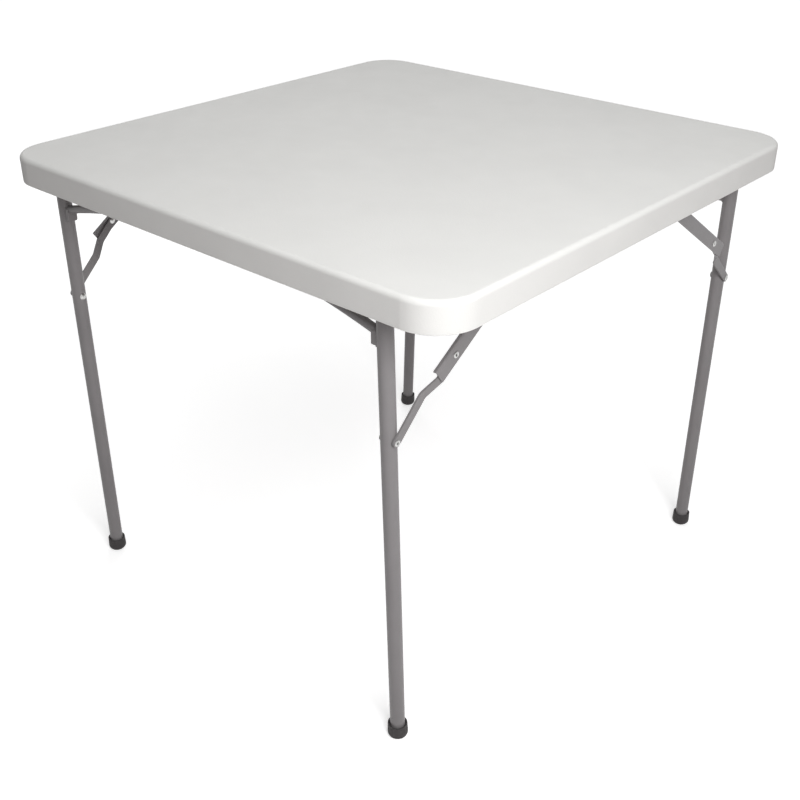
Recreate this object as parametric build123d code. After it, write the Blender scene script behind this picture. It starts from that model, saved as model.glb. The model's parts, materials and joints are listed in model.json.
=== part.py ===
from build123d import *
import math
import os

os.makedirs("parts", exist_ok=True)

# Folding card table: a square blow-moulded top on two tube leg frames that fold flat
# against its underside. Millimetres, +Z up, origin on the floor under the centre.
# The near frame carries the left and front legs and folds towards +Y.
# The far frame is the near frame turned half a turn about Z.

# Whole table
table_side = 860.0
table_height = 740.0

# Moulded top
top_thickness = 43.0
top_corner_radius = 62.0
top_edge_round = 7.0
top_lower_round = 4.0
skin = 3.0
rim_width = 25.0
recess_corner_radius = 36.0
recess_draft = 4.0
rim_lip_round = 2.0

# Kiss-off dimples, where the lower skin is pressed up against the upper one
dimple_pitch = 88.0
dimple_margin = 60.0
dimple_mouth_radius = 11.0
dimple_tip_radius = 5.0

# Leg frames
leg_diameter = 22.0
leg_wall = 1.2
leg_plane_inset = 53.0
outer_leg_inset = 63.0
nesting_offset = 70.0
inner_foot_spread = 22.0
hinge_depth = 37.0
folded_leg_room = 4.2
folded_stay_room = 1.5
leg_bolt_drop = 198.0
arch_bar_diameter = 12.7
arch_bar_wall = 1.2
arch_bar_drop = 55.0
arch_end_slope = 16.0
arch_socket_width = 15.0
arch_socket_height = 21.0
arch_socket_reach = 6.0
arch_socket_drop = 3.5
arch_socket_round = 3.0

# Foot caps
cap_diameter = 29.0
cap_foot_diameter = 31.0
cap_height = 24.0
cap_floor = 4.0
cap_bottom_round = 8.5
cap_mouth_flare = 2.0

# Folding braces: a flat link on the leg and a pressed stay under the top
stay_anchor_run = 256.0
elbow_bend = 10.7
link_width = 13.0
link_thickness = 3.0
link_joggle = 12.0
joggle_from_elbow = 51.0
joggle_length = 27.0
joggle_bend_radius = 14.0
stay_sheet = 1.8
stay_fold_side = 11.5
stay_open_side = 11.0
stay_tail = 38.0
stay_flange = 6.0
stay_bend_radius = 2.6
stay_corner_round = 1.5
stay_flange_stop = 26.0

# Brackets pressed from sheet
bracket_sheet = 1.8
bracket_corner_round = 4.0
leg_bracket_flange = 12.0
leg_bracket_screw_edge = 6.0
leg_bracket_front = 17.0
leg_bracket_screw_back = 6.0
leg_bracket_screw_front = 11.0
stay_bracket_width = 13.0
stay_bracket_length = 46.0
stay_bracket_screw_span = 32.0
stay_ear_radius = 8.0

# Fasteners
pivot_rivet_radius = 3.0
pivot_head_radius = 5.5
pivot_head_height = 3.0
brace_rivet_radius = 2.5
brace_head_radius = 4.7
brace_head_height = 1.8
brace_rivet_bore = 1.5
screw_radius = 2.0
screw_head_radius = 3.6
screw_head_height = 2.2
screw_depth = 13.0
screw_boss_radius = 7.0
leg_bolt_radius = 2.5
leg_bolt_head_radius = 5.5
leg_bolt_head_height = 3.0
leg_bolt_rolled_radius = 4.7
leg_bolt_rolled_height = 1.8
leg_bolt_bore = 1.5
rolled_end_depth = 2.4

# Clearances
running_fit = 0.05
screw_fit = 0.15
side_gap = 0.3
link_to_leg_gap = 0.5
overrun = 5.0

# Derived places, in the table's own frame
half_side = table_side / 2
hinge_height = table_height - hinge_depth
leg_plane = half_side - leg_plane_inset
outer_leg_place = half_side - outer_leg_inset
inner_leg_place = outer_leg_place - nesting_offset
underside = table_height - top_thickness
lean_slope = inner_foot_spread / hinge_height

# Derived sizes of one corner, in the corner's frame: origin on the hinge axis at the
# middle of the leg, X outwards along the hinge axis, Y the way the leg folds, Z up.
# An inner leg leans outwards, and the room between the hinge's ears allows for it
leg_radius = leg_diameter / 2
room_over_leg = leg_radius + folded_leg_room
room_over_stay = max(stay_fold_side, stay_open_side) + screw_head_height + folded_stay_room
bracket_face = max(room_over_leg, room_over_stay)
seat_level = bracket_face + bracket_sheet
link_inner_face = leg_radius + link_to_leg_gap
link_outer_face = link_inner_face + link_thickness
stay_inner_face = link_outer_face + link_joggle + side_gap
stay_outer_face = stay_inner_face + stay_sheet
stay_centre = (stay_inner_face + stay_outer_face) / 2
foot_drop = hinge_height - cap_floor
lean_room = lean_slope * leg_diameter
bolt_seat = leg_radius + lean_slope * leg_bolt_head_radius

# The recess is as deep as the folded legs and their brackets need
recess_floor = hinge_height + seat_level
recess_depth = recess_floor - underside

# The brace folds flat when the stay is longer than the link by the difference of
# their anchors' distances from the hinge, and it stands bent by elbow_bend at rest
anchor_difference = stay_anchor_run - leg_bolt_drop
brace_reach = math.hypot(stay_anchor_run, leg_bolt_drop)
bend_factor = 2 + 2 * math.cos(math.radians(elbow_bend))
closing_term = (brace_reach**2 - anchor_difference**2) / bend_factor
link_length = math.sqrt(anchor_difference**2 / 4 + closing_term) - anchor_difference / 2
stay_length = link_length + anchor_difference
brace_slope = math.degrees(math.atan2(leg_bolt_drop, stay_anchor_run))
bend_sine = math.sin(math.radians(elbow_bend))
stay_lead = math.degrees(math.asin(link_length * bend_sine / brace_reach))
link_lead = math.degrees(math.asin(stay_length * bend_sine / brace_reach))
stay_slope = brace_slope - stay_lead
link_slope = brace_slope + link_lead

# One entry for each corner: mirrored across its leg, hinge place along X, turned half
# round, and how much further out its foot stands than its hinge
corners = {
    "left": (True, -outer_leg_place, False, 0),
    "front": (False, inner_leg_place, False, inner_foot_spread),
    "right": (True, -outer_leg_place, True, 0),
    "back": (False, inner_leg_place, True, inner_foot_spread),
}


def out_at(drop, spread):
    """How far out a leg's middle lies from its hinge at a drop below the hinge."""
    return spread * drop / hinge_height


def bolt_out(name):
    """How far out a corner's leg bolt lies from its hinge, and its whole brace with it."""
    return out_at(leg_bolt_drop, corners[name][-1])


def at_corner(shape, name):
    """Moves a shape from the corner's frame to its corner of the table."""
    mirrored, place, turned, _ = corners[name]
    handed = mirror(shape, about=Plane.YZ) if mirrored else shape
    placed = Pos(place, -leg_plane, hinge_height) * handed
    return Rot(0, 0, 180) * placed if turned else placed


def rounded_prism(side, radius, low, high):
    """A square prism with rounded upright edges between two heights."""
    return extrude(Pos(0, 0, low) * RectangleRounded(side, side, radius), high - low)


def bar_along_x(radius, low, high):
    """A round bar along X between two places."""
    return extrude(Plane.YZ.offset(low) * Circle(radius), high - low)


def box_between(low, high):
    """A box between two opposite corners."""
    size = [high[i] - low[i] for i in range(len(low))]
    return Pos(*low) * Box(*size, align=(Align.MIN, Align.MIN, Align.MIN))


def rivet_head(face, radius, height, outwards):
    """A low dome on a face across X, pointing outwards (1) or inwards (-1)."""
    centre = (face, 0)
    rim = (face, radius)
    apex = (face + outwards * height, 0)
    crown = TangentArc(apex, rim, tangent=(0, 1))
    profile = make_face([Line(centre, rim), crown, Line(apex, centre)])
    return revolve(profile, Axis.X)


def rolled_head(face, bore, radius, height):
    """The rolled-over end of a hollow rivet: a half-round ring on a face across X."""
    inner = (face, bore)
    outer = (face, radius)
    crest = (face + height, (bore + radius) / 2)
    profile = make_face([Line(inner, outer), ThreePointArc(outer, crest, inner)])
    return revolve(profile, Axis.X)


def hollow_end(bore, face):
    """The hollow that a rolled end is turned over from."""
    return bar_along_x(bore, face - rolled_end_depth, face + overrun)


def brace_rivet(low, high):
    """A rivet along X with a dome on its inner face and a rolled end on its outer one."""
    shank = bar_along_x(brace_rivet_radius, low, high) - hollow_end(brace_rivet_bore, high)
    inner = rivet_head(low, brace_head_radius, brace_head_height, -1)
    return shank + inner + rolled_head(high, brace_rivet_bore, brace_head_radius, brace_head_height)


def leg_screw_places():
    """Places of the leg bracket's four screws in the corner's frame."""
    side = leg_radius + side_gap + lean_room + bracket_sheet + leg_bracket_screw_edge
    rows = (-leg_bracket_screw_back, leg_bracket_screw_front)
    return [(sign * side, row) for sign in (-1, 1) for row in rows]


def stay_screw_places(out):
    """Places of the stay bracket's two screws, for a brace that far out."""
    half_span = stay_bracket_screw_span / 2
    return [(stay_centre + out, stay_anchor_run + sign * half_span) for sign in (-1, 1)]


def upright(radius, low, high, places):
    """Equal upright cylinders at the given places."""
    return [Pos(x, y, low) * extrude(Circle(radius), high - low) for x, y in places]


def screws(places):
    """Pan-head screws with their heads under a bracket's plate."""
    made = []
    for x, y in places:
        shank = extrude(Circle(screw_radius), bracket_sheet + screw_depth)
        head = extrude(Circle(screw_head_radius), -screw_head_height)
        soft = fillet(head.edges().group_by(Axis.Z)[0], screw_head_height / 2)
        made.append(Pos(x, y, bracket_face) * (shank + soft))
    return made


def dimple_places():
    """Centres of the kiss-off dimples, an even grid over the recess."""
    reach = half_side - rim_width - dimple_margin
    count = int(reach / dimple_pitch + 1 / 2)
    steps = [(i + 1 / 2) * dimple_pitch for i in range(-count, count)]
    return [(x, y) for x in steps for y in steps]


def reach_of(place):
    """How far a place lies out from the table's middle, along X or Y."""
    return max(abs(place.X), abs(place.Y))


def make_top():
    """The moulded top: two skins joined at the rim, the dimples and the bosses."""
    slab = rounded_prism(table_side, top_corner_radius, underside, table_height)
    slab = fillet(slab.edges().group_by(Axis.Z)[-1], top_edge_round)
    slab = fillet(slab.edges().group_by(Axis.Z)[0], top_lower_round)

    recess_side = table_side - 2 * rim_width
    mouth = Pos(0, 0, underside) * RectangleRounded(recess_side, recess_side, recess_corner_radius)
    recess = extrude(mouth, recess_depth, taper=recess_draft)

    shell_radius = top_corner_radius - skin
    top_inside = table_height - skin
    cavity = rounded_prism(table_side - 2 * skin, shell_radius, underside + skin, top_inside)
    core_side = recess_side + 2 * skin
    core_radius = recess_corner_radius + skin
    cavity -= rounded_prism(core_side, core_radius, underside, recess_floor + skin)

    pocket_depth = table_height - 2 * skin - recess_floor
    pockets = []
    cones = []
    for x, y in dimple_places():
        at_mouth = Pos(x, y, recess_floor + pocket_depth / 2)
        pockets.append(at_mouth * Cone(dimple_mouth_radius, dimple_tip_radius, pocket_depth))
        outer_tip = dimple_tip_radius + skin
        outer_mouth = dimple_mouth_radius + skin
        rise = top_inside - recess_floor
        cones.append(Pos(x, y, recess_floor + rise / 2) * Cone(outer_mouth, outer_tip, rise))

    bosses = []
    holes = []
    tip = seat_level + screw_depth + screw_fit
    for name in corners:
        places = leg_screw_places() + stay_screw_places(bolt_out(name))
        for boss in upright(screw_boss_radius, seat_level, seat_level + top_thickness, places):
            bosses.append(at_corner(boss, name))
        for hole in upright(screw_radius + screw_fit, bracket_face, tip, places):
            holes.append(at_corner(hole, name))
    cavity = cavity - cones - bosses

    top = slab - recess
    foot_edges = top.edges().group_by(Axis.Z)[0]
    lip = [edge for edge in foot_edges if reach_of(edge.center()) < half_side - rim_width / 2]
    top = fillet(lip, rim_lip_round)
    return top - pockets - cavity - holes


def leg_core(radius, spread):
    """A long round core along a leg's axis, through its hinge point."""
    lean = math.degrees(math.atan2(spread, hinge_height))
    return Rot(0, -lean, 0) * extrude(Circle(radius), table_height, both=True)


def make_leg(spread):
    """A leg tube with its top end trimmed round about the hinge axis."""
    reach = leg_diameter + spread
    trim = box_between((-reach, -leg_diameter, -foot_drop), (reach, leg_diameter, 0))
    trim += bar_along_x(leg_radius, -reach, reach)
    tube = leg_core(leg_radius, spread) - leg_core(leg_radius - leg_wall, spread)
    pivot_hole = bar_along_x(pivot_rivet_radius + running_fit, -reach, reach)
    bolt_hole = bar_along_x(leg_bolt_radius + running_fit, -reach, reach)
    return (tube & trim) - pivot_hole - Pos(0, 0, -leg_bolt_drop) * bolt_hole


def make_foot_cap(spread):
    """A rubber cup on the end of a leg, full at the foot and flared inside its mouth."""
    mouth_drop = hinge_height - cap_height
    bottom = Pos(spread, 0, -hinge_height) * Circle(cap_foot_diameter / 2)
    mouth = Pos(out_at(mouth_drop, spread), 0, -mouth_drop) * Circle(cap_diameter / 2)
    cup = loft([bottom, mouth])
    cup = fillet(cup.edges().group_by(Axis.Z)[0], cap_bottom_round)
    reach = cap_foot_diameter + spread
    above_floor = box_between((-reach, -reach, -foot_drop), (reach, reach, 0))
    flare_base = leg_radius - cap_mouth_flare
    flare_rim = leg_radius + 2 * cap_mouth_flare
    flare = Cone(flare_base, flare_rim, 3 * cap_mouth_flare)
    flare = Pos(out_at(mouth_drop, spread), 0, -mouth_drop - cap_mouth_flare / 2) * flare
    return cup - (leg_core(leg_radius, spread) & above_floor) - flare


def make_leg_bracket():
    """A pressed cradle: two ears beside the leg and a back web that stops it upright."""
    web_inner = leg_radius + side_gap
    web_outer = web_inner + bracket_sheet
    ear_inner = web_inner + lean_room
    ear_outer = ear_inner + bracket_sheet
    ears = box_between((-ear_outer, -web_outer, 0), (ear_outer, web_outer, seat_level))
    ears += box_between((-ear_outer, -web_outer, -web_outer), (ear_outer, 0, 0))
    ears += bar_along_x(web_outer, -ear_outer, ear_outer)
    ears -= box_between(
        (-ear_inner, -web_inner, -web_outer - overrun),
        (ear_inner, web_outer + overrun, bracket_face),
    )
    wide = ear_outer + leg_bracket_flange
    plate_depth = web_outer + leg_bracket_front
    plate = RectangleRounded(2 * wide, plate_depth, bracket_corner_round)
    plate_middle = (leg_bracket_front - web_outer) / 2
    plate = Pos(0, plate_middle, bracket_face) * extrude(plate, bracket_sheet)
    hole = bar_along_x(pivot_rivet_radius + running_fit, -wide, wide)
    drilled = upright(screw_radius + screw_fit, bracket_face, seat_level, leg_screw_places())
    return ears + plate - hole - drilled


def make_stay_bracket():
    """A small clevis under the top that carries the stay's upper end."""
    inner = stay_inner_face - side_gap
    outer = stay_outer_face + side_gap
    ears = bar_along_x(stay_ear_radius, inner - bracket_sheet, outer + bracket_sheet)
    ears += box_between(
        (inner - bracket_sheet, -stay_ear_radius, 0),
        (outer + bracket_sheet, stay_ear_radius, seat_level),
    )
    ears -= box_between(
        (inner, -stay_ear_radius - overrun, -stay_ear_radius - overrun),
        (outer, stay_ear_radius + overrun, bracket_face),
    )
    plate = RectangleRounded(stay_bracket_width, stay_bracket_length, bracket_corner_round)
    plate = Pos(stay_centre, 0, bracket_face) * extrude(plate, bracket_sheet)
    hole = bar_along_x(brace_rivet_radius + running_fit, inner - overrun, outer + overrun)
    bracket = Pos(0, stay_anchor_run, 0) * (ears + plate - hole)
    return bracket - upright(
        screw_radius + screw_fit, bracket_face, seat_level, stay_screw_places(0)
    )


def to_rest_stay(shape):
    """Turns a shape from the folded stay's place to the standing one, about the anchor."""
    return Pos(0, stay_anchor_run, 0) * Rot(stay_slope, 0, 0) * shape


def to_rest_link(shape):
    """Turns a shape made along Y from the leg bolt to the standing link's place."""
    return Pos(0, 0, -leg_bolt_drop) * Rot(link_slope, 0, 0) * shape


def make_stay():
    """The pressed upper brace: a flat side and one folded flange that stops the link."""
    side = box_between(
        (stay_inner_face, -stay_length - stay_tail, -stay_open_side),
        (stay_outer_face, stay_open_side, stay_fold_side),
    )
    flange_low = stay_fold_side - stay_sheet
    side += box_between(
        (stay_outer_face - stay_flange, -stay_length - stay_tail, flange_low),
        (stay_outer_face, -stay_flange_stop, stay_fold_side),
    )
    along = side.edges().filter_by(Axis.Y)
    fold = along.group_by(Axis.Z)[-1].sort_by(Axis.X)[-1]
    side = fillet(fold, stay_bend_radius)

    full_length = stay_length + stay_tail - stay_flange_stop
    full_centre = -(stay_length + stay_tail + stay_flange_stop) / 2
    full_width = stay_open_side + stay_fold_side
    broad = Pos(full_centre, (stay_fold_side - stay_open_side) / 2) * RectangleRounded(
        full_length, full_width, stay_corner_round
    )
    neck_length = stay_flange_stop + stay_open_side
    neck = Pos(-neck_length / 2, 0) * Rectangle(neck_length, 2 * stay_open_side)
    outline = broad + neck + Circle(stay_open_side)
    depth = stay_flange + overrun
    cutter = extrude(Plane.YZ.offset(stay_outer_face - depth) * outline, 2 * depth)
    stay = side & cutter
    bore = brace_rivet_radius + running_fit
    hole = bar_along_x(bore, stay_inner_face - overrun, stay_outer_face + overrun)
    return to_rest_stay(stay - hole - Pos(0, -stay_length, 0) * hole)


def make_link():
    """The flat lower brace, set out from the leg by a double bend near the elbow."""
    end_round = link_width / 2
    mid = link_inner_face + link_thickness / 2
    bend_start = link_length - joggle_from_elbow - joggle_length / 2
    bend_end = bend_start + joggle_length
    path = FilletPolyline(
        (mid, -end_round - overrun, 0),
        (mid, bend_start, 0),
        (mid + link_joggle, bend_end, 0),
        (mid + link_joggle, link_length + end_round + overrun, 0),
        radius=joggle_bend_radius,
    )
    section = Plane(origin=path @ 0, z_dir=path % 0, x_dir=(1, 0, 0)) * Rectangle(
        link_thickness, link_width
    )
    strip = sweep(section, path=path)
    outline = Pos(link_length / 2, 0) * SlotCenterToCenter(link_length, link_width)
    reach = link_joggle + link_thickness + overrun
    cutter = extrude(Plane.YZ.offset(link_inner_face - overrun) * outline, reach + overrun)
    bolt_hole = bar_along_x(leg_bolt_radius + running_fit, link_inner_face - overrun, stay_outer_face)
    elbow_hole = bar_along_x(brace_rivet_radius + running_fit, link_inner_face, stay_outer_face)
    link = (strip & cutter) - bolt_hole - Pos(0, link_length, 0) * elbow_hole
    return to_rest_link(link)


def make_elbow_rivet():
    """The rivet that joins the stay and the link at the elbow."""
    inner = link_inner_face + link_joggle
    return to_rest_stay(Pos(0, -stay_length, 0) * brace_rivet(inner, stay_outer_face))


def make_anchor_rivet():
    """The rivet through the stay bracket's ears."""
    inner = stay_inner_face - side_gap - bracket_sheet
    outer = stay_outer_face + side_gap + bracket_sheet
    return Pos(0, stay_anchor_run, 0) * brace_rivet(inner, outer)


def make_link_bolt_end():
    """The outer end of the leg bolt, which turns with the link."""
    shank = bar_along_x(leg_bolt_radius, link_inner_face, link_outer_face)
    shank -= hollow_end(leg_bolt_bore, link_outer_face)
    head = rolled_head(
        link_outer_face, leg_bolt_bore, leg_bolt_rolled_radius, leg_bolt_rolled_height
    )
    return to_rest_link(shank + head)


def make_leg_bolt():
    """The leg's own length of the leg bolt, with its dome on the inner side."""
    shank = bar_along_x(leg_bolt_radius, -bolt_seat, leg_radius)
    head = rivet_head(-bolt_seat, leg_bolt_head_radius, leg_bolt_head_height, -1)
    return Pos(0, 0, -leg_bolt_drop) * (shank + head)


def make_pivot_rivet():
    """The hinge rivet through the leg bracket's ears and the leg."""
    reach = leg_radius + side_gap + lean_room + bracket_sheet
    made = bar_along_x(pivot_rivet_radius, -reach, reach)
    for way in (-1, 1):
        made += rivet_head(way * reach, pivot_head_radius, pivot_head_height, way)
    return made


def make_arch_bar():
    """The near frame's bowed tube between its two legs, with a welded socket at each."""
    low_end = -outer_leg_place
    high_end = inner_leg_place + out_at(arch_bar_drop, inner_foot_spread)
    level = hinge_height - arch_bar_drop
    half_span = (high_end - low_end) / 2
    rise = half_span * math.tan(math.radians(arch_end_slope) / 2)
    middle = (low_end + high_end) / 2
    path = ThreePointArc(
        (low_end, -leg_plane, level), (middle, -leg_plane, level + rise), (high_end, -leg_plane, level)
    )
    start = Plane(origin=path @ 0, z_dir=path % 0, x_dir=(0, 1, 0))
    bar = sweep(start * Circle(arch_bar_diameter / 2), path=path)
    bore = sweep(start * Circle(arch_bar_diameter / 2 - arch_bar_wall), path=path)
    section = RectangleRounded(arch_socket_width, arch_socket_height, arch_socket_round)
    section = Pos(-leg_plane, level - arch_socket_drop) * section
    for end, inwards in ((low_end, 1), (high_end, -1)):
        reach = leg_radius + arch_socket_reach
        bar += extrude(Plane.YZ.offset(end) * section, inwards * reach)
    bar -= bore
    for hinge, spread in ((low_end, 0), (inner_leg_place, inner_foot_spread)):
        bar -= Pos(hinge, -leg_plane, hinge_height) * leg_core(leg_radius, spread)
    return bar.solids().sort_by(SortBy.VOLUME)[-1]


def save(name, shape):
    """Writes one node."""
    export_step(shape, "parts/" + name + ".step")


def save_group(name, shapes):
    """Writes one node that holds several equal solids."""
    save(name, Compound(children=shapes))


# Pieces that follow the lean of their leg
leg_makers = {
    "leg": make_leg,
    "foot_cap": make_foot_cap,
}

# Pieces at the hinge, equal at all corners
hinge_makers = {
    "leg_bracket": make_leg_bracket,
    "pivot_rivet": make_pivot_rivet,
}

# Pieces of the brace, equal at all corners and set out as far as the leg bolt is
brace_makers = {
    "stay_bracket": make_stay_bracket,
    "anchor_rivet": make_anchor_rivet,
    "brace_stay": make_stay,
    "elbow_rivet": make_elbow_rivet,
    "brace_link": make_link,
    "link_bolt_end": make_link_bolt_end,
    "leg_bolt": make_leg_bolt,
}

save("tabletop", make_top())
for piece, maker in leg_makers.items():
    for corner in corners:
        save(piece + "_" + corner, at_corner(maker(corners[corner][-1]), corner))
for piece, maker in hinge_makers.items():
    shape = maker()
    for corner in corners:
        save(piece + "_" + corner, at_corner(shape, corner))
for piece, maker in brace_makers.items():
    shape = maker()
    for corner in corners:
        save(piece + "_" + corner, at_corner(Pos(bolt_out(corner), 0, 0) * shape, corner))

near_bar = make_arch_bar()
save("arch_bar_near", near_bar)
save("arch_bar_far", Rot(0, 0, 180) * near_bar)

leg_screws = []
stay_screws = []
for corner in corners:
    leg_screws += [at_corner(screw, corner) for screw in screws(leg_screw_places())]
    its_places = stay_screw_places(bolt_out(corner))
    stay_screws += [at_corner(screw, corner) for screw in screws(its_places)]
save_group("leg_bracket_screws", leg_screws)
save_group("stay_bracket_screws", stay_screws)

print("link length", round(link_length, 2), "stay length", round(stay_length, 2))
print("link slope", round(link_slope, 2), "stay slope", round(stay_slope, 2))
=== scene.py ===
import json
import math

import bmesh
import bpy
from mathutils import Matrix, Vector


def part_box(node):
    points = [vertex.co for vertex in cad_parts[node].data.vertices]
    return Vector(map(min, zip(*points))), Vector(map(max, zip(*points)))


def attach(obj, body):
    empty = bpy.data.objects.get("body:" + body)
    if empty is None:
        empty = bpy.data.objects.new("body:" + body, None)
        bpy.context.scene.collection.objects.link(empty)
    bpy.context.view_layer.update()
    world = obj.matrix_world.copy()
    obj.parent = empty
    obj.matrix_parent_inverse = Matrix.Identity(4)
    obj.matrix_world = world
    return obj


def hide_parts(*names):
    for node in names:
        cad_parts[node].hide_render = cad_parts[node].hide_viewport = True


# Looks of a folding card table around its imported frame. Metres, +Z up, origin on the
# floor under the centre, X along the hinge lines, near frame at -Y.

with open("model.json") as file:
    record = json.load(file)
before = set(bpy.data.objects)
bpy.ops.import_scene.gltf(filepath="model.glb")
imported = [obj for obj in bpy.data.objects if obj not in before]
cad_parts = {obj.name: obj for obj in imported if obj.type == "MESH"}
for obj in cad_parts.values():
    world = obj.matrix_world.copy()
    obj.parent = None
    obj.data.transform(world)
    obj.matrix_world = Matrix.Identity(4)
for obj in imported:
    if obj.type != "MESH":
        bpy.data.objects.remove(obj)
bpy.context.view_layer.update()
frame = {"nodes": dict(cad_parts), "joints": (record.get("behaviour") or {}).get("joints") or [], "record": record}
nodes = frame["nodes"]
hinges = {joint["name"]: Vector(joint["pos_m"]) for joint in frame["joints"]}

CORNERS_OF = {"near": ("left", "front"), "far": ("right", "back")}
FOLD_WAY = {"near": 1, "far": -1}

# Camera, fitted to the photograph's top outline and feet
CAMERA_PLACE = Vector((1.0989, -1.2586, 1.236))
CAMERA_HEADING = math.radians(131.382)
CAMERA_DIP = math.radians(29.576)
CAMERA_ROLL = math.radians(0.075)
CAMERA_FOCAL_PIXELS = 1104.4
IMAGE_WIDTH = 800
SENSOR_WIDTH = 36

# In the finishes below a colour holds linear values, a scale is features per metre,
# a depth is metres, a shade multiplies the colour, a share is how much of the second
# colour comes in at most, and a window is the part of a texture that is mapped.
WIDE_WINDOW = (0.3, 0.7)
MIDDLE_WINDOW = (0.35, 0.65)
FULL_SHARE = (0, 1)

# Moulded plastic of the top
TOP_COLOUR = (0.80, 0.797, 0.778)
TOP_MOTTLE_SCALE = 9
TOP_MOTTLE_SHADE = 0.975
TOP_SPECK_SCALE = 900
TOP_SPECK_SHADE = 0.9
TOP_SPECK_SHARE = 0.35
TOP_SPECK_WINDOW = (0.55, 0.8)
TOP_SPECK_DEPTH = 0.00003
TOP_GRAIN_SCALE = 520
TOP_GRAIN_DEPTH = 0.00011
TOP_SINK_SCALE = 5
TOP_SINK_DEPTH = 0.0009
TOP_GLOSS_SCALE = 35
TOP_ROUGHNESS = (0.48, 0.62)
TOP_IOR = 1.5
TOP_SPECULAR = 0.3

# Powder coat of the frames and braces
PAINT_COLOUR = (0.226, 0.215, 0.218)
PAINT_CLOUD_SCALE = 14
PAINT_CLOUD_SHADES = (0.94, 1.05)
PAINT_SPECKLE_SCALE = 2600
PAINT_SPECKLE_SHADE = 1.3
PAINT_SPECKLE_SHARE = 0.4
PAINT_SPECKLE_WINDOW = (0.52, 0.75)
PAINT_SPECKLE_DEPTH = 0.000012
PAINT_PEEL_SCALE = 420
PAINT_PEEL_DEPTH = 0.00005
PAINT_ROUGHNESS = (0.36, 0.5)
PAINT_WEAR_RADIUS = 0.0008
PAINT_WEAR_SAMPLES = 4
PAINT_WEAR_SHADE = 1.55
PAINT_WEAR_SHARE = 0.7
PAINT_WEAR_WINDOW = (0.06, 0.3)
PAINT_SPECULAR = 0.5
PAINT_COAT = 0.12
PAINT_COAT_ROUGHNESS = 0.25

# Zinc plate of the rivets, bolts and screws
ZINC_COLOUR = (0.62, 0.62, 0.61)
ZINC_TARNISH_SCALE = 160
ZINC_TARNISH_SHADE = 0.82
ZINC_TARNISH_WINDOW = (0.4, 0.7)
ZINC_SCRATCH_SCALE = 2400
ZINC_SCRATCH_DEPTH = 0.00001
ZINC_ROUGHNESS = (0.24, 0.38)

# Rubber of the foot caps, dusty up to a height over the floor
RUBBER_COLOUR = (0.060, 0.056, 0.057)
RUBBER_DUST_HEIGHT = 0.006
RUBBER_DUST_SCALE = 380
RUBBER_DUST_SHADE = 3.4
RUBBER_DUST_SHARE = 0.6
RUBBER_DUST_WINDOW = (0.25, 0.7)
RUBBER_SCUFF_SCALE = 240
RUBBER_ROUGHNESS = (0.58, 0.78)
RUBBER_GRAIN_SCALE = 1300
RUBBER_GRAIN_DEPTH = 0.00004
RUBBER_SPECULAR = 0.35

# Floor: its colour to the camera and in reflections, and its colour as a reflector of light
FLOOR_COLOUR = (0.9, 0.9, 0.9)
FLOOR_BOUNCE = (0.42, 0.38, 0.383)
FLOOR_GRAIN_SCALE = 60
FLOOR_GRAIN_SHADE = 0.995
FLOOR_ROUGHNESS = 0.9
FLOOR_SPECULAR = 0.1
FLOOR_HALF_SIDE = 30
FLOOR_DROP = 0.0002

# White added to the floor as the camera sees it, rising with the distance from the origin
LIFT_NEAR = 0.55
LIFT_FAR = 0.82
LIFT_START = 0.8
LIFT_END = 3.2

# Light: an even world, a lamp beside the camera, one overhead and one from behind
WHITE = (1, 1, 1, 1)
WORLD_LIGHT = 0.21
WORLD_SEEN = 1.0
KEY_PLACE = Vector((1.50, -0.98, 1.45))
KEY_SIZE = 0.8
KEY_POWER = 27.8
OVERHEAD_PLACE = Vector((0.06, -0.06, 2.3))
OVERHEAD_SIZE = 1.2
OVERHEAD_POWER = 8
BEHIND_PLACE = Vector((-1.9, 1.7, 1.15))
BEHIND_SIZE = 1.4
BEHIND_POWER = 16
TABLE_HEART = Vector((0, 0, 0.6))

# Mesh points nearer than this are one point
MERGE_DISTANCE = 1e-7

# Places of the screws, by their brackets and the hinge line
SCREW_EDGE = 0.006
LEG_SCREW_ROWS = (-0.006, 0.011)
STAY_SCREW_HALF_SPAN = 0.016
SCREW_TURN_STEP = 2.4

# Form of a screw: a pan head with a cross recess, and a plain shank
SCREW_HEAD_RADIUS = 0.0036
SCREW_HEAD_HEIGHT = 0.0022
SCREW_HEAD_FULLNESS = 0.8
SCREW_SHANK_RADIUS = 0.002
SCREW_RECESS_REACH = 0.0023
SCREW_RECESS_HALF_WIDTH = 0.00045
SCREW_RECESS_DEPTH = 0.0013
SCREW_RINGS = 18
SCREW_SEGMENTS = 64

# The recess's walls, in its half widths, and the part of its reach that slopes
RECESS_WALL_OUTER = 1.6
RECESS_WALL_RUN = 0.6
RECESS_SLOPE_SHARE = 0.55

# Parting line along the top's lower edge
PARTING_HEIGHT = 0.0022
PARTING_STAND = 0.00038
PARTING_HALF_HEIGHT = 0.0007
TOP_CORNER_RADIUS = 0.062
TOP_LOWER_ROUND = 0.004
CORNER_STEPS = 20
SIDE_STEPS = 24

# Weld beads where the bowed bars' sockets meet the legs
SOCKET_HEIGHT = 0.021
SOCKET_ROUND = 0.003
SOCKET_CORNER_STEPS = 6
SOCKET_SIDE_STEPS = 10
BEAD_RADIUS = 0.0013
BEAD_RIPPLE_SHARE = 0.16
BEAD_RIPPLE_PITCH = 0.0016
BEAD_STEP = 0.0004

# Sides of a swept bead or line
BEAD_SIDES = 10

# Places of a mix node's colour sockets
MIX_FIRST_INPUT = 6
MIX_SECOND_INPUT = 7
MIX_OUTPUT = 2


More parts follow.
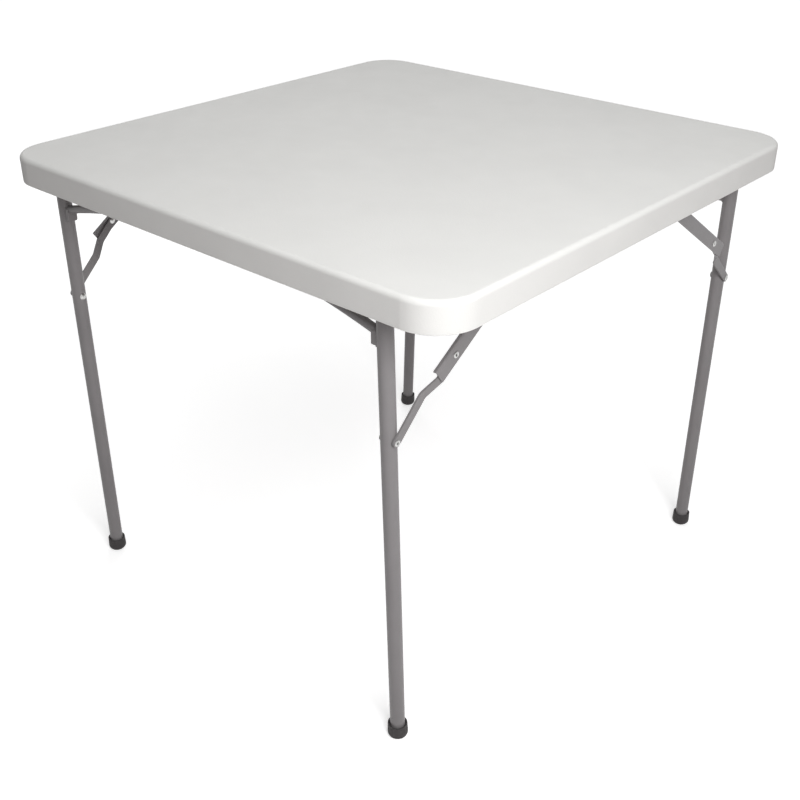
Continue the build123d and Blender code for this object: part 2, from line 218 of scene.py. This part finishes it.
class Surface:
    """A material's node tree with short calls for adding and joining nodes."""

    def __init__(self, name):
        self.material = bpy.data.materials.new(name)
        self.material.use_nodes = True
        self.tree = self.material.node_tree
        self.tree.nodes.clear()
        self.output = self.tree.nodes.new("ShaderNodeOutputMaterial")
        self.shader = self.tree.nodes.new("ShaderNodeBsdfPrincipled")
        self.join(self.shader.outputs["BSDF"], self.output.inputs["Surface"])
        self.place = self.tree.nodes.new("ShaderNodeTexCoord").outputs["Object"]

    def join(self, source, target):
        """Links one socket to another."""
        self.tree.links.new(source, target)

    def noise(self, scale, detail):
        """A noise texture over the object's own metres."""
        node = self.tree.nodes.new("ShaderNodeTexNoise")
        node.inputs["Scale"].default_value = scale
        node.inputs["Detail"].default_value = detail
        self.join(self.place, node.inputs["Vector"])
        return node.outputs["Fac"]

    def cells(self, scale):
        """A texture of rounded cells over the object's own metres."""
        node = self.tree.nodes.new("ShaderNodeTexVoronoi")
        node.feature = "SMOOTH_F1"
        node.inputs["Scale"].default_value = scale
        self.join(self.place, node.inputs["Vector"])
        return node.outputs["Distance"]

    def ramp(self, source, results, window):
        """Maps a window of the source onto a pair of results, clamped."""
        node = self.tree.nodes.new("ShaderNodeMapRange")
        node.inputs["From Min"].default_value = window[0]
        node.inputs["From Max"].default_value = window[1]
        node.inputs["To Min"].default_value = results[0]
        node.inputs["To Max"].default_value = results[1]
        self.join(source, node.inputs["Value"])
        return node.outputs["Result"]

    def maths(self, operation, first, second):
        """One math node; an argument is a socket or a number."""
        node = self.tree.nodes.new("ShaderNodeMath")
        node.operation = operation
        for place, value in enumerate((first, second)):
            if isinstance(value, (int, float)):
                node.inputs[place].default_value = value
            else:
                self.join(value, node.inputs[place])
        return node.outputs["Value"]

    def height(self):
        """The object's own Z, in metres."""
        node = self.tree.nodes.new("ShaderNodeSeparateXYZ")
        self.join(self.place, node.inputs["Vector"])
        return node.outputs["Z"]

    def mixed(self, share, first, second):
        """A colour between two colours by a share; each is a socket or a triple."""
        node = self.tree.nodes.new("ShaderNodeMix")
        node.data_type = "RGBA"
        self.join(share, node.inputs["Factor"])
        for place, value in ((MIX_FIRST_INPUT, first), (MIX_SECOND_INPUT, second)):
            if isinstance(value, tuple):
                node.inputs[place].default_value = (*value, 1)
            else:
                self.join(value, node.inputs[place])
        return node.outputs[MIX_OUTPUT]

    def edge_wear(self, radius, samples):
        """High near sharp edges, where a bevelled normal leaves the flat one."""
        bevel = self.tree.nodes.new("ShaderNodeBevel")
        bevel.samples = samples
        bevel.inputs["Radius"].default_value = radius
        geometry = self.tree.nodes.new("ShaderNodeNewGeometry")
        likeness = self.tree.nodes.new("ShaderNodeVectorMath")
        likeness.operation = "DOT_PRODUCT"
        self.join(bevel.outputs["Normal"], likeness.inputs[0])
        self.join(geometry.outputs["Normal"], likeness.inputs[1])
        return self.maths("SUBTRACT", 1.0, likeness.outputs["Value"])

    def bump(self, heights):
        """Chains bumps from (height socket, distance in metres) pairs onto the shader."""
        normal = None
        for source, distance in heights:
            node = self.tree.nodes.new("ShaderNodeBump")
            node.inputs["Distance"].default_value = distance
            self.join(source, node.inputs["Height"])
            if normal is not None:
                self.join(normal, node.inputs["Normal"])
            normal = node.outputs["Normal"]
        self.join(normal, self.shader.inputs["Normal"])

    def colour(self, source):
        """Feeds the base colour."""
        self.join(source, self.shader.inputs["Base Color"])

    def rough(self, source):
        """Feeds the roughness."""
        self.join(source, self.shader.inputs["Roughness"])

    def set(self, **values):
        """Sets the shader's own sockets; an underscore stands for a space."""
        for name, value in values.items():
            self.shader.inputs[name.replace("_", " ")].default_value = value


def scaled(colour, factor):
    """A colour made lighter or darker."""
    return tuple(part * factor for part in colour)


def moulded_plastic():
    """Off-white blow-moulded plastic: fine pebble grain, faint mottling and sink."""
    surface = Surface("moulded_plastic")
    mottle = surface.ramp(surface.noise(TOP_MOTTLE_SCALE, detail=4), FULL_SHARE, MIDDLE_WINDOW)
    speck = surface.noise(TOP_SPECK_SCALE, detail=1)
    speck_share = surface.ramp(speck, (0, TOP_SPECK_SHARE), TOP_SPECK_WINDOW)
    base = surface.mixed(mottle, scaled(TOP_COLOUR, TOP_MOTTLE_SHADE), TOP_COLOUR)
    surface.colour(surface.mixed(speck_share, base, scaled(TOP_COLOUR, TOP_SPECK_SHADE)))
    gloss = surface.noise(TOP_GLOSS_SCALE, detail=3)
    surface.rough(surface.ramp(gloss, TOP_ROUGHNESS, WIDE_WINDOW))
    sink = surface.noise(TOP_SINK_SCALE, detail=2)
    grain = surface.cells(TOP_GRAIN_SCALE)
    surface.bump([(sink, TOP_SINK_DEPTH), (grain, TOP_GRAIN_DEPTH), (speck, TOP_SPECK_DEPTH)])
    surface.set(IOR=TOP_IOR, Specular_IOR_Level=TOP_SPECULAR)
    return surface.material


def powder_coat():
    """Satin grey powder coat: orange peel, fine speckle and rubbed edges."""
    surface = Surface("powder_coat")
    peel = surface.noise(PAINT_PEEL_SCALE, detail=2)
    speckle = surface.noise(PAINT_SPECKLE_SCALE, detail=1)
    cloud = surface.ramp(surface.noise(PAINT_CLOUD_SCALE, detail=3), FULL_SHARE, MIDDLE_WINDOW)
    dark, light = (scaled(PAINT_COLOUR, shade) for shade in PAINT_CLOUD_SHADES)
    base = surface.mixed(cloud, dark, light)
    speckle_share = surface.ramp(speckle, (0, PAINT_SPECKLE_SHARE), PAINT_SPECKLE_WINDOW)
    base = surface.mixed(speckle_share, base, scaled(PAINT_COLOUR, PAINT_SPECKLE_SHADE))
    edges = surface.edge_wear(PAINT_WEAR_RADIUS, PAINT_WEAR_SAMPLES)
    wear_share = surface.ramp(edges, (0, PAINT_WEAR_SHARE), PAINT_WEAR_WINDOW)
    surface.colour(surface.mixed(wear_share, base, scaled(PAINT_COLOUR, PAINT_WEAR_SHADE)))
    surface.rough(surface.ramp(peel, PAINT_ROUGHNESS, WIDE_WINDOW))
    surface.bump([(peel, PAINT_PEEL_DEPTH), (speckle, PAINT_SPECKLE_DEPTH)])
    surface.set(
        Specular_IOR_Level=PAINT_SPECULAR, Coat_Weight=PAINT_COAT, Coat_Roughness=PAINT_COAT_ROUGHNESS
    )
    return surface.material


def bright_zinc():
    """Bright zinc plate: fine tumbled scratches and faint tarnish."""
    surface = Surface("bright_zinc")
    tarnish = surface.noise(ZINC_TARNISH_SCALE, detail=3)
    tarnish_share = surface.ramp(tarnish, FULL_SHARE, ZINC_TARNISH_WINDOW)
    surface.colour(surface.mixed(tarnish_share, ZINC_COLOUR, scaled(ZINC_COLOUR, ZINC_TARNISH_SHADE)))
    scratch = surface.noise(ZINC_SCRATCH_SCALE, detail=2)
    surface.rough(surface.ramp(scratch, ZINC_ROUGHNESS, WIDE_WINDOW))
    surface.bump([(scratch, ZINC_SCRATCH_DEPTH)])
    surface.set(Metallic=1.0)
    return surface.material


def foot_rubber():
    """Dark rubber, dusty and scuffed towards the floor."""
    surface = Surface("foot_rubber_black")
    lowness = surface.ramp(surface.height(), (1, 0), (0, RUBBER_DUST_HEIGHT))
    dust = surface.maths("MULTIPLY", lowness, surface.noise(RUBBER_DUST_SCALE, detail=4))
    dust_share = surface.ramp(dust, (0, RUBBER_DUST_SHARE), RUBBER_DUST_WINDOW)
    surface.colour(surface.mixed(dust_share, RUBBER_COLOUR, scaled(RUBBER_COLOUR, RUBBER_DUST_SHADE)))
    scuff = surface.noise(RUBBER_SCUFF_SCALE, detail=3)
    surface.rough(surface.ramp(scuff, RUBBER_ROUGHNESS, WIDE_WINDOW))
    surface.bump([(surface.noise(RUBBER_GRAIN_SCALE, detail=2), RUBBER_GRAIN_DEPTH)])
    surface.set(Specular_IOR_Level=RUBBER_SPECULAR)
    return surface.material


def floor_material():
    """White paper floor: brighter to the camera than it is as a reflector."""
    surface = Surface("studio_floor")
    path = surface.tree.nodes.new("ShaderNodeLightPath")
    seen = surface.maths("MAXIMUM", path.outputs["Is Camera Ray"], path.outputs["Is Glossy Ray"])
    grain = surface.noise(FLOOR_GRAIN_SCALE, detail=4)
    paper = surface.mixed(grain, scaled(FLOOR_COLOUR, FLOOR_GRAIN_SHADE), FLOOR_COLOUR)
    surface.colour(surface.mixed(seen, FLOOR_BOUNCE, paper))
    distance = surface.tree.nodes.new("ShaderNodeVectorMath")
    distance.operation = "LENGTH"
    surface.join(surface.place, distance.inputs[0])
    lift = surface.ramp(distance.outputs["Value"], (LIFT_NEAR, LIFT_FAR), (LIFT_START, LIFT_END))
    surface.join(surface.maths("MULTIPLY", seen, lift), surface.shader.inputs["Emission Strength"])
    surface.set(Emission_Color=WHITE, Roughness=FLOOR_ROUGHNESS, Specular_IOR_Level=FLOOR_SPECULAR)
    return surface.material


def dress_nodes():
    """Gives every CAD node the material of its slot in the record."""
    slots = {part["node"]: part["material_slot"] for part in frame["record"]["subparts"]}
    for name, piece in nodes.items():
        piece.data.materials.clear()
        piece.data.materials.append(finishes[slots[name]])


def new_piece(name, vertices, faces, body, slot):
    """Adds a smooth mesh that rides on a body and takes its slot's material."""
    mesh = bpy.data.meshes.new(name)
    mesh.from_pydata(vertices, [], faces)
    work = bmesh.new()
    work.from_mesh(mesh)
    bmesh.ops.remove_doubles(work, verts=work.verts, dist=MERGE_DISTANCE)
    bmesh.ops.recalc_face_normals(work, faces=work.faces)
    for face in work.faces:
        face.smooth = True
    work.to_mesh(mesh)
    work.free()
    mesh.materials.append(finishes[slot])
    piece = bpy.data.objects.new(name, mesh)
    bpy.context.scene.collection.objects.link(piece)
    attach(piece, body)
    return piece


def middle_of(node):
    """The middle of a node's box."""
    low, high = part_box(node)
    return (low + high) / 2


def ring_faces(rings, sides, closed):
    """Quads between rings of equal numbers of points; closed joins the last ring to the first."""
    faces = []
    for ring in range(rings if closed else rings - 1):
        start = ring * sides
        start_after = (ring + 1) % rings * sides
        for side in range(sides):
            beside = (side + 1) % sides
            faces.append((start + side, start + beside, start_after + beside, start_after + side))
    return faces


def closed_sweep(path, sections, aside):
    """Points of a closed tube: each section's (out, up) pairs about its path point."""
    points = []
    count = len(path)
    for place, (point, section) in enumerate(zip(path, sections)):
        ahead = (path[(place + 1) % count] - path[place - 1]).normalized()
        up = (aside - aside.dot(ahead) * ahead).normalized()
        out = ahead.cross(up)
        points += [point + out * pair[0] + up * pair[1] for pair in section]
    return points


def oval(half_width, half_height):
    """The (out, up) pairs of an oval section."""
    turns = [step / BEAD_SIDES * math.tau for step in range(BEAD_SIDES)]
    return [(half_width * math.cos(turn), half_height * math.sin(turn)) for turn in turns]


def rounded_outline(half_width, half_height, radius, corner_steps, side_steps):
    """Points around a rounded rectangle, anticlockwise, as pairs about its middle."""
    pairs = []
    for quarter in range(4):
        turn = quarter * math.pi / 2
        sign_x = 1 if quarter in (0, 3) else -1
        sign_y = 1 if quarter in (0, 1) else -1
        middle = (sign_x * (half_width - radius), sign_y * (half_height - radius))
        for step in range(corner_steps + 1):
            angle = turn + step / corner_steps * math.pi / 2
            pairs.append((middle[0] + radius * math.cos(angle), middle[1] + radius * math.sin(angle)))
    filled = []
    for place, pair in enumerate(pairs):
        filled.append(pair)
        after = pairs[(place + 1) % len(pairs)]
        if place % (corner_steps + 1) == corner_steps:
            for step in range(1, side_steps):
                share = step / side_steps
                filled.append(tuple(a + (b - a) * share for a, b in zip(pair, after)))
    return filled


def evenly_spaced(corners, step):
    """Points at even steps along a closed run of straight lines."""
    points = []
    spare = 0
    for place, start in enumerate(corners):
        end = corners[(place + 1) % len(corners)]
        length = (end - start).length
        while spare < length:
            points.append(start + (end - start) * (spare / length))
            spare += step
        spare -= length
    return points


def build_parting_line():
    """A fine raised line along the moulding's lower edge, where the mould halves met."""
    low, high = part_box("tabletop")
    middle = (low + high) / 2
    rise = TOP_LOWER_ROUND - PARTING_HEIGHT
    inset = TOP_LOWER_ROUND - math.sqrt(TOP_LOWER_ROUND**2 - rise**2)
    half_side = (high.x - low.x) / 2 - inset
    outline = rounded_outline(
        half_side, half_side, TOP_CORNER_RADIUS - inset, CORNER_STEPS, SIDE_STEPS
    )
    path = [Vector((middle.x + x, middle.y + y, low.z + PARTING_HEIGHT)) for x, y in outline]
    section = oval(PARTING_STAND, PARTING_HALF_HEIGHT)
    points = closed_sweep(path, [section] * len(path), Vector((0, 0, 1)))
    faces = ring_faces(len(path), BEAD_SIDES, True)
    new_piece("parting_line", points, faces, "top", "moulded_top")


def at_height(foot, hinge, height):
    """The point of a leg's axis at a height, on the line from its foot to its hinge."""
    return foot + (hinge - foot) * ((height - foot.z) / (hinge.z - foot.z))


def socket_seam(corner, outline, centre):
    """Where a socket of this outline, centred at this height, meets the leg's surface."""
    leg_low, leg_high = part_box("leg_" + corner)
    leg_radius = (leg_high.y - leg_low.y) / 2
    hinge = middle_of("pivot_rivet_" + corner)
    foot = middle_of("foot_cap_" + corner)
    inwards = 1 if foot.x < 0 else -1
    seam = []
    for across, up in outline:
        axis = at_height(foot, hinge, centre + up)
        reach = math.sqrt(max(leg_radius**2 - across**2, 0))
        seam.append(axis + Vector((inwards * reach, across, 0)))
    return seam


def build_weld_beads():
    """A rippled bead around each socket of the bowed bars, on the leg's surface."""
    for side, corners in CORNERS_OF.items():
        low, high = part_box("arch_bar_" + side)
        half_width = (high.y - low.y) / 2
        half_height = SOCKET_HEIGHT / 2
        outline = rounded_outline(
            half_width, half_height, SOCKET_ROUND, SOCKET_CORNER_STEPS, SOCKET_SIDE_STEPS
        )
        for corner in corners:
            path = evenly_spaced(socket_seam(corner, outline, low.z + half_height), BEAD_STEP)
            sections = []
            for place in range(len(path)):
                phase = place * BEAD_STEP / BEAD_RIPPLE_PITCH * math.tau
                radius = BEAD_RADIUS * (1 + BEAD_RIPPLE_SHARE * math.sin(phase))
                sections.append(oval(radius, radius))
            points = closed_sweep(path, sections, Vector((1, 0, 0)))
            faces = ring_faces(len(path), BEAD_SIDES, True)
            new_piece("weld_bead_" + corner, points, faces, side + "_frame", "frame_paint")


def clamped(value):
    """A value kept between 0 and 1."""
    return min(max(value, 0), 1)


def recess_depth(across, along):
    """How deep the cross recess is at a place on a screw's head."""
    depth = 0
    for near, far in ((abs(across), abs(along)), (abs(along), abs(across))):
        wall_left = SCREW_RECESS_HALF_WIDTH * RECESS_WALL_OUTER - near
        wall = clamped(wall_left / (SCREW_RECESS_HALF_WIDTH * RECESS_WALL_RUN))
        slope = clamped((SCREW_RECESS_REACH - far) / (SCREW_RECESS_REACH * RECESS_SLOPE_SHARE))
        depth = max(depth, wall * slope * SCREW_RECESS_DEPTH)
    return depth


def screw_mesh(place, turn, head_low, tip):
    """One screw's points and faces: a domed head with its recess, and a plain shank."""
    angles = [segment / SCREW_SEGMENTS * math.tau for segment in range(SCREW_SEGMENTS)]
    points = []
    for ring in range(SCREW_RINGS + 1):
        bend = ring / SCREW_RINGS * math.pi / 2
        radius = SCREW_HEAD_RADIUS * math.sin(bend)
        rise = SCREW_HEAD_HEIGHT * (1 - math.cos(bend)**SCREW_HEAD_FULLNESS)
        for angle in angles:
            across = radius * math.cos(angle)
            along = radius * math.sin(angle)
            spun_x = across * math.cos(turn) - along * math.sin(turn)
            spun_y = across * math.sin(turn) + along * math.cos(turn)
            level = head_low + rise + recess_depth(across, along)
            points.append(Vector((place.x + spun_x, place.y + spun_y, level)))
    for level in (head_low + SCREW_HEAD_HEIGHT, tip):
        for angle in angles:
            x = place.x + SCREW_SHANK_RADIUS * math.cos(angle)
            y = place.y + SCREW_SHANK_RADIUS * math.sin(angle)
            points.append(Vector((x, y, level)))
    rings = len(points) // SCREW_SEGMENTS
    faces = ring_faces(rings, SCREW_SEGMENTS, False)
    faces.append(tuple(range((rings - 1) * SCREW_SEGMENTS, rings * SCREW_SEGMENTS)))
    return points, faces


def screw_places():
    """The places of the screws of each node, seen from above."""
    places = {"leg_bracket_screws": [], "stay_bracket_screws": []}
    for side, corners in CORNERS_OF.items():
        hinge = hinges[side + "_fold"]
        for corner in corners:
            low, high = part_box("leg_bracket_" + corner)
            for x in (low.x + SCREW_EDGE, high.x - SCREW_EDGE):
                for row in LEG_SCREW_ROWS:
                    place = Vector((x, hinge.y + FOLD_WAY[side] * row, 0))
                    places["leg_bracket_screws"].append(place)
            middle = middle_of("stay_bracket_" + corner)
            for offset in (-STAY_SCREW_HALF_SPAN, STAY_SCREW_HALF_SPAN):
                place = Vector((middle.x, middle.y + offset, 0))
                places["stay_bracket_screws"].append(place)
    return places


def build_screws():
    """Cross-recess screws in place of the plain ones, each turned by its own amount."""
    for node, its_places in screw_places().items():
        low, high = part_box(node)
        points = []
        faces = []
        for count, place in enumerate(its_places):
            some_points, some_faces = screw_mesh(place, count * SCREW_TURN_STEP, low.z, high.z)
            faces += [tuple(index + len(points) for index in face) for face in some_faces]
            points += some_points
        piece = new_piece(node + "_cross", points, faces, "top", "zinc")
        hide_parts(node)


def build_stage():
    """A wide pale floor."""
    far = FLOOR_HALF_SIDE
    mesh = bpy.data.meshes.new("studio_floor")
    corners = [(-far, -far, 0), (far, -far, 0), (far, far, 0), (-far, far, 0)]
    mesh.from_pydata(corners, [], [(0, 1, 2, 3)])
    mesh.materials.append(floor_material())
    floor = bpy.data.objects.new("studio_floor", mesh)
    floor.location.z = -FLOOR_DROP
    bpy.context.scene.collection.objects.link(floor)


def build_world():
    """Even studio light that is plain white to the camera and in reflections."""
    world = bpy.data.worlds.new("studio")
    world.use_nodes = True
    bpy.context.scene.world = world
    tree = world.node_tree
    background = tree.nodes["Background"]
    path = tree.nodes.new("ShaderNodeLightPath")
    seen = tree.nodes.new("ShaderNodeMath")
    seen.operation = "MAXIMUM"
    tree.links.new(path.outputs["Is Camera Ray"], seen.inputs[0])
    tree.links.new(path.outputs["Is Glossy Ray"], seen.inputs[1])
    strength = tree.nodes.new("ShaderNodeMapRange")
    strength.inputs["To Min"].default_value = WORLD_LIGHT
    strength.inputs["To Max"].default_value = WORLD_SEEN
    tree.links.new(seen.outputs["Value"], strength.inputs["Value"])
    tree.links.new(strength.outputs["Result"], background.inputs["Strength"])
    background.inputs["Color"].default_value = WHITE


def softbox(name, place, size, power, glints):
    """A square area lamp that faces the table; without glints it isn't reflected."""
    data = bpy.data.lights.new(name, "AREA")
    data.size = size
    data.energy = power
    lamp = bpy.data.objects.new(name, data)
    lamp.location = place
    lamp.rotation_mode = "QUATERNION"
    lamp.rotation_quaternion = (TABLE_HEART - place).to_track_quat("-Z", "Y")
    lamp.visible_camera = False
    lamp.visible_glossy = glints
    bpy.context.scene.collection.objects.link(lamp)


def build_camera():
    """The photograph's camera."""
    level = math.cos(CAMERA_DIP)
    ahead = Vector((
        level * math.cos(CAMERA_HEADING), level * math.sin(CAMERA_HEADING), -math.sin(CAMERA_DIP)
    ))
    right = ahead.cross(Vector((0, 0, 1))).normalized()
    above = right.cross(ahead)
    turned_right = math.cos(CAMERA_ROLL) * right + math.sin(CAMERA_ROLL) * above
    turned_above = math.cos(CAMERA_ROLL) * above - math.sin(CAMERA_ROLL) * right
    axes = Matrix((turned_right, turned_above, -ahead)).transposed()
    data = bpy.data.cameras.new("photo_camera")
    data.sensor_width = SENSOR_WIDTH
    data.lens = CAMERA_FOCAL_PIXELS / IMAGE_WIDTH * SENSOR_WIDTH
    camera = bpy.data.objects.new("photo_camera", data)
    camera.matrix_world = Matrix.Translation(CAMERA_PLACE) @ axes.to_4x4()
    bpy.context.scene.collection.objects.link(camera)
    bpy.context.scene.camera = camera


finishes = {
    "moulded_top": moulded_plastic(),
    "frame_paint": powder_coat(),
    "zinc": bright_zinc(),
    "foot_rubber": foot_rubber(),
}
dress_nodes()
build_parting_line()
build_weld_beads()
build_screws()
build_stage()
build_world()
softbox("key", KEY_PLACE, KEY_SIZE, KEY_POWER, glints=False)
softbox("overhead", OVERHEAD_PLACE, OVERHEAD_SIZE, OVERHEAD_POWER, glints=True)
softbox("behind", BEHIND_PLACE, BEHIND_SIZE, BEHIND_POWER, glints=False)
build_camera()

bpy.context.scene.view_settings.view_transform = "Standard"
